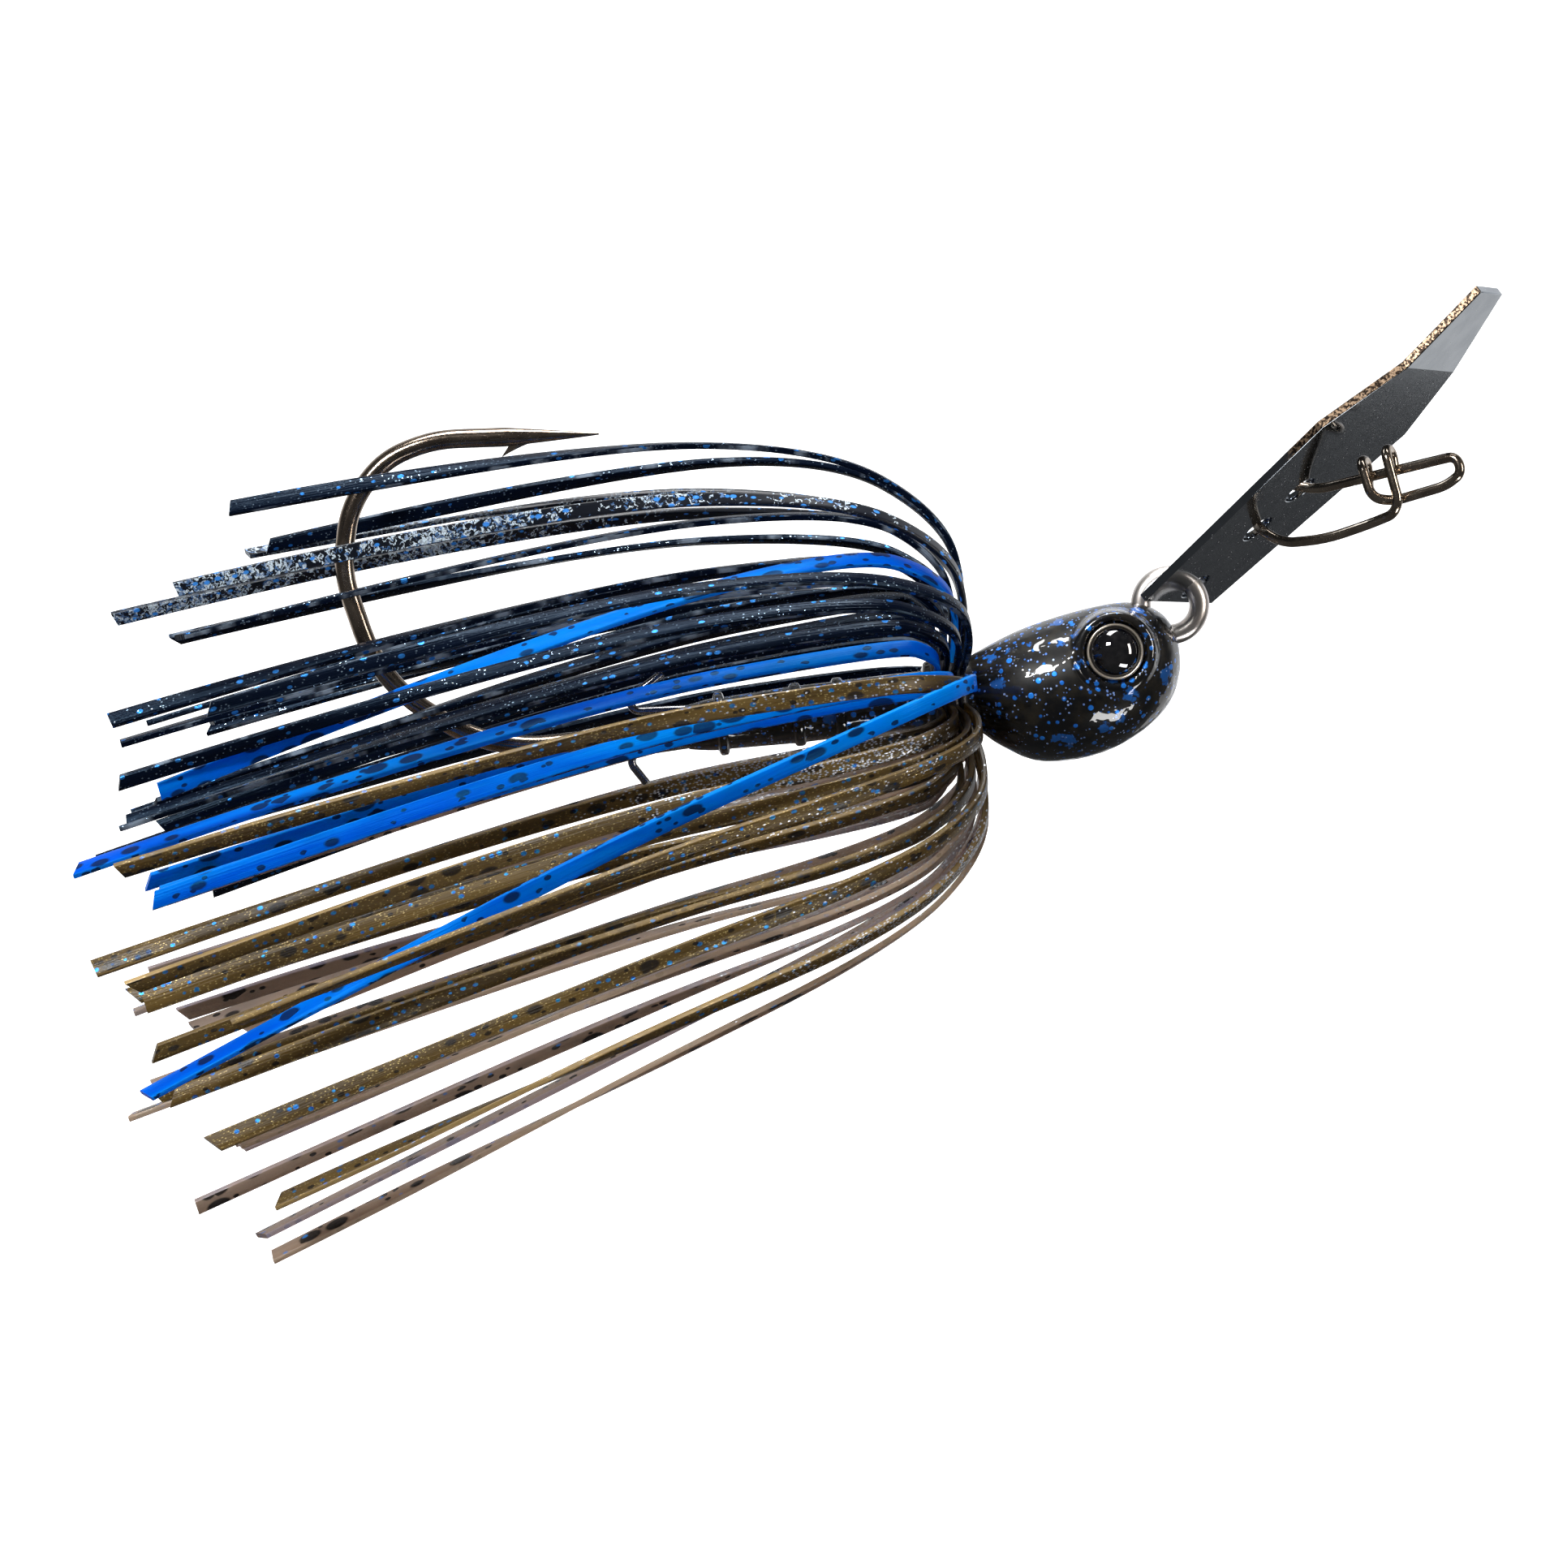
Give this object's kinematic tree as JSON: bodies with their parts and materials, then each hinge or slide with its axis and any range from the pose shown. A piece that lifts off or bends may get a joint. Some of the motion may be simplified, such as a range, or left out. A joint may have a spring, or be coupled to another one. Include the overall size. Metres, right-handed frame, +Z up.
{
  "type": "bladed swim jig fishing lure",
  "caption": "Bladed swim jig: painted lead head cast on a hook, silicone strand skirt, wire trailer keeper, and a bent blade that swings on the hook eye and carries a line snap.",
  "frame": {"origin": "on the axis of the hook shank, at the rear face of the trailer keeper's barrel", "axes": "+X forward along the hook shank, towards the nose and blade; +Z up, on the hook point's side, as the lure swims; +Y to the lure's left side"},
  "size_m": [0.1036, 0.0468, 0.0573],
  "materials": {
    "hook_wire": "polished",
    "head_paint": "gloss",
    "keeper_wire": "satin",
    "eye_disc": "gloss",
    "eye_lens": "gloss",
    "band_rubber": "satin",
    "blade_metal": "polished",
    "snap_wire": "polished",
    "skirt_black": "gloss",
    "skirt_silver": "gloss",
    "skirt_blue": "gloss",
    "skirt_olive": "gloss",
    "skirt_smoke": "gloss"
  },
  "bodies": {
    "jig_body": {"head_casting": "head_paint", "hook": "hook_wire", "keeper_wire_lower": "keeper_wire", "keeper_wire_upper": "keeper_wire", "left_eye_disc": "eye_disc", "left_eye_lens": "eye_lens", "right_eye_disc": "eye_disc", "right_eye_lens": "eye_lens", "skirt_band": "band_rubber", "skirt_black_inner": "skirt_black", "skirt_black_outer": "skirt_black", "skirt_black_second": "skirt_black", "skirt_black_third": "skirt_black", "skirt_blue": "skirt_blue", "skirt_olive_inner": "skirt_olive", "skirt_olive_outer": "skirt_olive", "skirt_olive_second": "skirt_olive", "skirt_olive_third": "skirt_olive", "skirt_silver": "skirt_silver", "skirt_smoke_inner": "skirt_smoke", "skirt_smoke_outer": "skirt_smoke", "skirt_smoke_second": "skirt_smoke", "skirt_smoke_third": "skirt_smoke"},
    "blade": {"blade": "blade_metal"},
    "snap": {"snap": "snap_wire"}
  },
  "joints": [
    {"name": "blade_swing", "type": "hinge", "parent": "jig_body", "child": "blade", "pos_m": [0.03485, 0, 0.00448], "axis": [0, 1, 0], "range_deg": [-50, 90]},
    {"name": "snap_swing", "type": "hinge", "parent": "blade", "child": "snap", "pos_m": [0.03667, 0, 0.0058], "axis": [0.7626, -0.3338, 0.5541], "range_deg": [-30, 30]}
  ]
}
